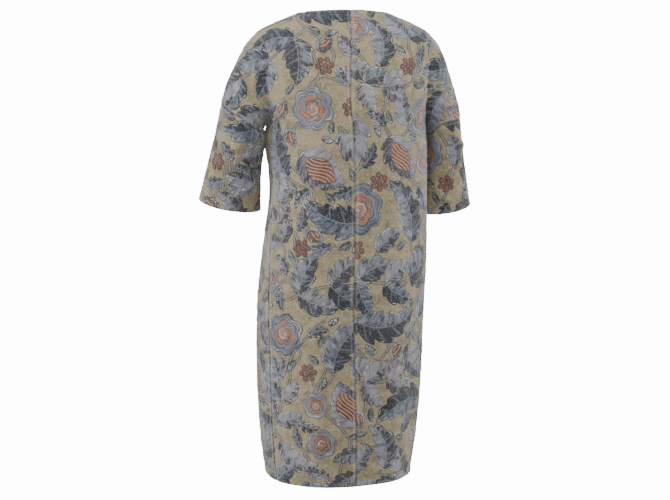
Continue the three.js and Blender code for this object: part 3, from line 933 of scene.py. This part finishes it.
pieces = {}
for piece in PIECES:
    fine = skins[SKIN_LEVELS[piece]]
    faces = fine["faces"]
    own = fine["owner"] == PIECES.index(piece)
    touches = np.zeros((len(PIECES), len(fine["points"])), bool)
    for number in range(len(PIECES)):
        touches[number, faces[fine["owner"] == number].ravel()] = True
    edges = np.sort(np.stack([faces, np.roll(faces, -1, 1)], -1).reshape(-1, 2), 1)
    unique_edges, times = np.unique(edges, axis=0, return_counts=True)
    mine = touches[PIECES.index(piece)]
    at_seam = mine & (touches.sum(0) > 1)
    at_rim = mine & np.isin(np.arange(len(mine)), unique_edges[times == 1])

    kept = np.flatnonzero(mine)
    points, normals = fine["points"][kept], fine["normals"][kept]
    seam_away = distance_to(points, fine["points"][at_seam])
    rim_away = distance_to(points, fine["points"][at_rim])
    lift = crease_height(points) + crepe_height(points)
    lift -= SEAM_DIP * np.exp(-((seam_away / SEAM_REACH) ** 2))
    lift += SEAM_LIP * np.exp(-(((seam_away - LIP_AT) / LIP_REACH) ** 2))
    lift += HEM_ROLL * np.exp(-((rim_away / HEM_REACH) ** 2))
    new_index = np.full(len(mine), -1)
    new_index[kept] = np.arange(len(kept))
    own_faces = new_index[faces[own]]

    mesh = smooth_mesh(piece, points + lift[:, None] * normals, own_faces)
    cloth_map = mesh.uv_layers.new(name="cloth")
    cloth_map.data.foreach_set("uv", (fine["flat"][own] * MM).ravel())
    shape, look, stem = print_fields(fine["flat"][own], piece)
    store(mesh, "print_shape", shape)
    store(mesh, "print_look", look)
    store(mesh, "cloth_lines", np.stack([stem, seam_away[own_faces], rim_away[own_faces]], -1))
    cloth = put_in_scene(f"{piece}_cloth", mesh)
    shell = cloth.modifiers.new("thickness", "SOLIDIFY")
    shell.thickness = CLOTH_THICKNESS * MM
    shell.offset = -1
    shell.material_offset = 1
    pieces[piece] = cloth
    print(piece, len(own_faces), "faces")
bpy.data.objects.remove(skin)

# %% [markdown]
# The cloth is taken to be a cotton and polyester jacquard. Its figure is woven, so motifs stand slightly
# above the ground and every colour is a mix of threads, which keeps it muted. The surface is dull
# and dry, with a faint sheen at grazing angles. One function turns a hex colour to linear, and one
# adds a node with its settings and its inputs, so that a material can be a table with a row a node.

# %% Colours and nodes
def linear(hex_colour):
    parts = [int(hex_colour[i : i + 2], 16) / 255 for i in (1, 3, 5)]
    return (*[c / 12.92 if c <= 0.04045 else ((c + 0.055) / 1.055) ** 2.4 for c in parts], 1)


def add(tree, name, kind, settings, inputs):
    """An input is a number, a hex colour, or the name of an earlier node and its output's number."""
    node = tree.nodes.new("ShaderNode" + kind)
    node.name = name
    for setting, value in settings.items():
        setattr(node, setting, value)
    for socket, value in inputs.items():
        if not isinstance(value, str):
            node.inputs[socket].default_value = value
        elif value.startswith("#"):
            node.inputs[socket].default_value = linear(value)
        else:
            source, _, output = value.partition(":")
            tree.links.new(tree.nodes[source].outputs[int(output or 0)], node.inputs[socket])


def material_from(name, rows):
    material = bpy.data.materials.new(name)
    material.use_nodes = True
    material.node_tree.nodes.clear()
    for row in rows:
        add(material.node_tree, *row)
    print(name, "has", len(rows), "nodes")
    return material


print("ground colour in linear light:", [round(c, 3) for c in linear("#988b6d")])

# %% [markdown]
# Real threads stand about 0.5 mm apart, which is finer than a pixel from here, so the weave is
# drawn at 1.6 mm. Outlines are about 2 mm wide and stems 6 mm. The material adds crinkles of its
# own to the shaped ones, about 17 mm apart and finer.
# The palette is khaki for the ground, slate and lavender for leaves, and rust for hearts.

# %% Sizes and colours of the print
THREAD_MM = 1.6
MOTTLE, CRINKLE, FLECK = 1000 / 34, 1000 / 17, 1000 / 5.5  # noise cells to a metre
OUTLINE_MM, RIB_MM, STEM_HALF_MM, STEM_CORE_MM = 1.7, 0.7, 3.0, 1.4
INK, SHADE, GLINT, LINT = "#3f4148", "#878789", "#e2dfd6", "#d2cec4"
PALE_RIB, WARM_PALE, HEART_STRIPE = "#a5a1a6", "#a87a62", "#bf9a84"
GROUND_DARK, GROUND_MID, GROUND_PALE = "#82755a", "#988b6e", "#ada185"
STEM_CORE = "#8a8578"
SOFT = {"interpolation_type": "SMOOTHSTEP"}
COLOUR = {"data_type": "RGBA"}
FLAT = {"noise_dimensions": "2D"}
PLUS, TIMES, SIZE = {"operation": "ADD"}, {"operation": "MULTIPLY"}, {"operation": "ABSOLUTE"}
TIMES_PLUS, LARGER, NEAR = {"operation": "MULTIPLY_ADD"}, {"operation": "MAXIMUM"}, {"operation": "COMPARE"}
print("weave drawn at", THREAD_MM, "mm, outlines", OUTLINE_MM, "mm")

# %% [markdown]
# First come the stored distances and four noises laid out on the flat cloth. The flecks' noise
# frays each outline by under a millimetre, as threads do. The ground is mottled in two scales, and
# a stem is a dark line with a pale core.

# %% Ground and stems
GROUND_ROWS = [
    ("shape", "Attribute", {"attribute_name": "print_shape"}, {}),
    ("look", "Attribute", {"attribute_name": "print_look"}, {}),
    ("lines", "Attribute", {"attribute_name": "cloth_lines"}, {}),
    ("in_shape", "SeparateXYZ", {}, {0: "shape:1"}),
    ("in_look", "SeparateXYZ", {}, {0: "look:1"}),
    ("in_lines", "SeparateXYZ", {}, {0: "lines:1"}),
    ("cloth_uv", "UVMap", {"uv_map": "cloth"}, {}),
    ("mottle", "TexNoise", FLAT, {0: "cloth_uv", "Scale": MOTTLE, "Detail": 5, "Distortion": 0.6}),
    ("fleck", "TexNoise", FLAT, {0: "cloth_uv", "Scale": FLECK, "Detail": 3}),
    ("crinkle", "TexNoise", FLAT, {0: "cloth_uv", "Scale": CRINKLE, "Detail": 3, "Distortion": 1.2}),
    ("grain", "TexNoise", FLAT, {0: "cloth_uv", "Scale": 500 / THREAD_MM, "Detail": 2}),
    ("wander", "Math", TIMES_PLUS, {0: "fleck", 1: 1.6, 2: -0.8}),
    ("edge", "Math", PLUS, {0: "in_shape:0", 1: "wander"}),
    ("patches", "MapRange", SOFT, {0: "mottle", 1: 0.3, 2: 0.62}),
    ("two_tone", "Mix", COLOUR, {0: "patches", 6: GROUND_DARK, 7: GROUND_MID}),
    ("flecks", "MapRange", SOFT, {0: "fleck", 1: 0.48, 2: 0.72, 4: 0.6}),
    ("ground", "Mix", COLOUR, {0: "flecks", 6: "two_tone:2", 7: GROUND_PALE}),
    ("stem_offset", "Math", PLUS, {0: "in_lines:0", 1: "wander"}),
    ("stem_away", "Math", SIZE, {0: "stem_offset"}),
    ("stem", "MapRange", SOFT, {0: "stem_away", 1: STEM_HALF_MM + 0.4, 2: STEM_HALF_MM - 0.4, 4: 0.9}),
    ("dark_stem", "Mix", COLOUR, {0: "stem", 6: "ground:2", 7: INK}),
    ("core", "MapRange", SOFT, {0: "stem_away", 1: STEM_CORE_MM + 0.35, 2: STEM_CORE_MM - 0.35}),
    ("stems", "Mix", COLOUR, {0: "core", 6: "dark_stem:2", 7: STEM_CORE}),
]
print("rows for the ground and stems:", len(GROUND_ROWS))

# %% [markdown]
# A motif takes its colour from its hue number, through a ramp. Short strokes run along the ribs
# and make it lighter and darker, as the weaver's shading does. Ribs are pale, the dips between
# lobes and the outline are dark, a heart has pale stripes, and a few white threads glint just
# inside the outline.

# %% Motifs
MOTIF_ROWS = [
    ("hues", "ValToRGB", {}, {0: "in_look:0"}),
    ("along", "Math", TIMES, {0: "in_shape:1", 1: 4.5}),
    ("inward", "Math", TIMES, {0: "in_shape:0", 1: 0.09}),
    ("stroke_place", "CombineXYZ", {}, {0: "along", 1: "inward"}),
    ("strokes", "TexNoise", FLAT, {0: "stroke_place", "Scale": 1, "Detail": 3, "Distortion": 0.4}),
    ("stroke_light", "Math", TIMES_PLUS, {0: "strokes", 1: 1.5, 2: -0.75}),
    ("patch_light", "Math", TIMES_PLUS, {0: "mottle", 1: 0.7, 2: "stroke_light"}),
    ("tone_light", "Math", PLUS, {0: "patch_light", 1: "in_look:1"}),
    ("light", "Math", PLUS, {0: "tone_light", 1: -0.35}),
    ("deep", "MapRange", SOFT, {0: "light", 1: 0.6, 2: 0.15}),
    ("shaded", "Mix", {"data_type": "RGBA", "blend_type": "MULTIPLY"}, {0: "deep", 6: "hues", 7: SHADE}),
    ("warm", "MapRange", SOFT, {0: "in_look:0", 1: 0.6, 2: 0.74}),
    ("pale", "Mix", COLOUR, {0: "warm", 6: PALE_RIB, 7: WARM_PALE}),
    ("lit", "MapRange", SOFT, {0: "light", 1: 0.5, 2: 1.1, 4: 0.6}),
    ("toned", "Mix", COLOUR, {0: "lit", 6: "shaded:2", 7: "pale:2"}),
    # from 0 in a dip between two lobes to 0.5 along the middle of a lobe
    ("lobe", "Math", {"operation": "PINGPONG"}, {0: "in_shape:1", 1: 0.5}),
    ("side_rib", "MapRange", SOFT, {0: "lobe", 1: 0.4, 2: 0.45, 4: 0.22}),
    ("rib_room", "MapRange", SOFT, {0: "edge", 1: 2.5, 2: 4.5}),
    ("short_rib", "Math", TIMES, {0: "side_rib", 1: "rib_room"}),
    ("spine_away", "Math", SIZE, {0: "in_shape:2"}),
    ("spine", "MapRange", SOFT, {0: "spine_away", 1: RIB_MM + 0.5, 2: RIB_MM - 0.3, 4: 0.45}),
    ("all_ribs", "Math", LARGER, {0: "short_rib", 1: "spine"}),
    ("ribbed", "Mix", COLOUR, {0: "all_ribs", 6: "toned:2", 7: PALE_RIB}),
    ("dip", "MapRange", SOFT, {0: "lobe", 1: 0.12, 2: 0.03, 4: 0.35}),
    ("dipped", "Mix", COLOUR, {0: "dip", 6: "ribbed:2", 7: INK}),
    ("stripe", "MapRange", SOFT, {0: "lobe", 1: 0.22, 2: 0.12, 4: 0.85}),
    ("in_heart", "MapRange", SOFT, {0: "in_look:2", 1: 0.8, 2: 1.8}),
    ("heart_stripe", "Math", TIMES, {0: "stripe", 1: "in_heart"}),
    ("striped", "Mix", COLOUR, {0: "heart_stripe", 6: "dipped:2", 7: HEART_STRIPE}),
    ("heart_away", "Math", SIZE, {0: "in_look:2"}),
    ("heart_line", "MapRange", SOFT, {0: "heart_away", 1: 1.5, 2: 0.8, 4: 0.55}),
    ("outline", "MapRange", SOFT, {0: "edge", 1: OUTLINE_MM + 0.6, 2: OUTLINE_MM - 0.5, 4: 0.5}),
    ("drawn", "Math", LARGER, {0: "outline", 1: "heart_line"}),
    ("outlined", "Mix", COLOUR, {0: "drawn", 6: "striped:2", 7: INK}),
    ("inner_line", "Math", NEAR, {0: "edge", 1: 3.6, 2: 0.65}),
    ("part_line", "Math", NEAR, {0: "lobe", 1: 0.27, 2: 0.15}),
    ("some_places", "MapRange", SOFT, {0: "mottle", 1: 0.52, 2: 0.6, 4: 0.75}),
    ("line_parts", "Math", TIMES, {0: "inner_line", 1: "part_line"}),
    ("glints", "Math", TIMES, {0: "line_parts", 1: "some_places"}),
    ("glinting", "Mix", COLOUR, {0: "glints", 6: "outlined:2", 7: GLINT}),
    ("inside", "MapRange", SOFT, {0: "edge", 1: -0.3, 2: 0.3}),
    ("print", "Mix", COLOUR, {0: "inside", 6: "stems:2", 7: "glinting:2"}),
]
print("rows for the motifs:", len(MOTIF_ROWS))

# %% [markdown]
# A seam shows as a dark line of painted shade between two lips, and the pressed lips carry a painted
# highlight that makes them a little paler. Pale lint catches on the weave. The relief is in millimetres: the
# raised figure, the crinkles, the flecks and the threads are added up, and the drawn outlines are pulled
# down.
# Cotton has a roughness near 0.8 and an index near 1.45, and its loose fibres give the sheen.

# %% Seams, relief and surface
SURFACE_ROWS = [
    # painted shade: the colour darkens towards the seam, in the groove where the cloth dips
    ("seam", "MapRange", SOFT, {0: "in_lines:1", 1: 2.4, 2: 0, 4: 0.4}),
    ("seamed", "Mix", COLOUR, {0: "seam", 6: "print:2", 7: INK}),
    ("lip_offset", "Math", PLUS, {0: "in_lines:1", 1: -5}),
    ("lip_away", "Math", SIZE, {0: "lip_offset"}),
    # painted highlight: the raised lips about five millimetres from the seam are mixed towards a pale colour
    ("lip", "MapRange", SOFT, {0: "lip_away", 1: 3, 2: 0.5, 4: 0.1}),
    ("pressed", "Mix", COLOUR, {0: "lip", 6: "seamed:2", 7: GLINT}),
    ("lint_mask", "MapRange", SOFT, {0: "grain", 1: 0.5, 2: 0.74, 4: 0.15}),
    ("colour", "Mix", COLOUR, {0: "lint_mask", 6: "pressed:2", 7: LINT}),
    ("thread_turns", "VectorMath", TIMES, {0: "cloth_uv", 1: [2 * math.pi * 1000 / THREAD_MM] * 3}),
    ("thread_waves", "VectorMath", {"operation": "SINE"}, {0: "thread_turns"}),
    ("thread_ways", "SeparateXYZ", {}, {0: "thread_waves"}),
    ("weave", "Math", TIMES, {0: "thread_ways:0", 1: "thread_ways:1"}),
    ("raised", "MapRange", SOFT, {0: "edge", 1: -0.5, 2: 3.5, 4: 0.5}),
    ("with_weave", "Math", TIMES_PLUS, {0: "weave", 1: 0.07, 2: "raised"}),
    ("with_flecks", "Math", TIMES_PLUS, {0: "fleck", 1: 0.5, 2: "with_weave"}),
    ("with_crinkles", "Math", TIMES_PLUS, {0: "crinkle", 1: 1.6, 2: "with_flecks"}),
    ("relief", "Math", TIMES_PLUS, {0: "drawn", 1: -0.26, 2: "with_crinkles"}),
    ("bump", "Bump", {}, {"Strength": 0.9, "Distance": MM, "Height": "relief"}),
    (
        "cloth",
        "BsdfPrincipled",
        {},
        {
            "Base Color": "colour:2",
            "Normal": "bump",
            "Roughness": 0.84,
            "IOR": 1.45,
            "Specular IOR Level": 0.28,
            "Sheen Weight": 0.18,
            "Sheen Roughness": 0.55,
        },
    ),
    ("output", "OutputMaterial", {}, {0: "cloth"}),
]
figured_jacquard = material_from("figured_jacquard", GROUND_ROWS + MOTIF_ROWS + SURFACE_ROWS)
ramp = figured_jacquard.node_tree.nodes["hues"].color_ramp.elements
while len(ramp) < len(HUE_STOPS):
    ramp.new(0.5)
for stop, (place, hex_colour) in zip(ramp, HUE_STOPS):
    stop.position = place
    stop.color = linear(hex_colour)

# %% [markdown]
# On the wrong side of a jacquard the figure's threads float loose and blur into the ground, so the
# reverse is one pale mottled colour. It shows inside the neck, the cuffs and the hem.

# %% The wrong side of the cloth
REVERSE_ROWS = [
    ("cloth_uv", "UVMap", {"uv_map": "cloth"}, {}),
    ("blur", "TexNoise", FLAT, {0: "cloth_uv", "Scale": MOTTLE, "Detail": 4}),
    ("grain", "TexNoise", FLAT, {0: "cloth_uv", "Scale": 1000 / THREAD_MM, "Detail": 2}),
    ("colour", "Mix", COLOUR, {0: "blur", 6: "#8c8578", 7: "#b2ab9d"}),
    ("bump", "Bump", {}, {"Strength": 0.4, "Distance": 0.4 * MM, "Height": "grain"}),
    ("cloth", "BsdfPrincipled", {}, {"Base Color": "colour:2", "Normal": "bump", "Roughness": 0.9}),
    ("output", "OutputMaterial", {}, {0: "cloth"}),
]
jacquard_reverse = material_from("jacquard_reverse", REVERSE_ROWS)
for cloth in pieces.values():
    cloth.data.materials.append(figured_jacquard)
    cloth.data.materials.append(jacquard_reverse)

# %% [markdown]
# Each piece rides with the dress and stands for its frame node, which is hidden.

# %% Put each piece in place of its frame node
for piece, cloth in pieces.items():
    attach(cloth, "root")
    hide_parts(piece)

# %% [markdown]
# The studio is a round white bowl, a floor that curves up into a wall, so that the dress can be
# looked at from every side. It glows white to the camera only: it neither lights nor shades the
# cloth. A broad soft lamp hangs above the back, one stands on each side, one by the camera and
# one in front of the dress.

# %% Studio
FLOOR_HEIGHT = -1.42
PAPER_GLOW = 14.0
FLOOR_RADIUS, BEND_RADIUS, WALL_TOP, BOWL_STEPS, BEND_STEPS = 4.0, 2.0, 6.0, 64, 13
LAMPS = [
    # name, place, what it points at, width and height, watts
    ("overhead", (0.1, 0.9, 1.6), (0, 0, -0.4), (2.2, 1.6), 51),
    ("left_window", (2.3, 0.1, -0.4), (0, 0, -0.45), (1.2, 2.2), 45),
    ("right_window", (-2.3, 0.1, -0.4), (0, 0, -0.45), (1.2, 2.2), 45),
    ("by_camera", (0.6, 3.4, -0.7), (0, 0, -0.6), (2.4, 2.0), 41),
    ("front_window", (-0.4, -2.9, 0.3), (0, 0, -0.45), (2.0, 2.0), 58),
]


def studio_bowl():
    bend = [
        (FLOOR_RADIUS + BEND_RADIUS * math.sin(a), FLOOR_HEIGHT + BEND_RADIUS * (1 - math.cos(a)))
        for a in np.linspace(0, math.pi / 2, BEND_STEPS)
    ]
    profile = [*bend, (FLOOR_RADIUS + BEND_RADIUS, WALL_TOP)]
    turns = np.linspace(0, 2 * math.pi, BOWL_STEPS, endpoint=False)
    points = [(radius * math.cos(a), radius * math.sin(a), z) for radius, z in profile for a in turns]
    faces = [tuple(range(BOWL_STEPS))]
    for low in range(0, (len(profile) - 1) * BOWL_STEPS, BOWL_STEPS):
        high = low + BOWL_STEPS
        for i in range(BOWL_STEPS):
            j = (i + 1) % BOWL_STEPS
            faces.append((low + i, high + i, high + j, low + j))
    mesh = bpy.data.meshes.new("studio_bowl")
    mesh.from_pydata(points, [], faces)
    bowl = put_in_scene("studio_bowl", mesh)
    paper = material_from(
        "white_paper",
        [
            ("glow", "Emission", {}, {"Color": "#ffffff", "Strength": PAPER_GLOW}),
            ("output", "OutputMaterial", {}, {0: "glow"}),
        ],
    )
    mesh.materials.append(paper)
    bowl.visible_diffuse = bowl.visible_glossy = bowl.visible_shadow = False
    return bowl


studio_bowl()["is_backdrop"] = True
for name, place, aim, size, power in LAMPS:
    light = bpy.data.lights.new(name, "AREA")
    light.shape = "RECTANGLE"
    light.size, light.size_y = size
    light.energy = power
    lamp = put_in_scene(name, light)
    lamp.location = place
    lamp.rotation_euler = aimed(place, aim)
world = bpy.data.worlds.new("studio_air")
world.use_nodes = True
world.node_tree.nodes["Background"].inputs["Color"].default_value = linear("#f6f7f8")
world.node_tree.nodes["Background"].inputs["Strength"].default_value = 0.33
bpy.context.scene.world = world

# %% Measure and print the sizes
visual_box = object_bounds()
sizes = {"cad": [list(corner) for corner in cad_box], "visual": [list(corner) for corner in visual_box]}
for name, (low, high) in sizes.items():
    print(name, "box:", [round((b - a) / MM) for a, b in zip(low, high)], "mm")
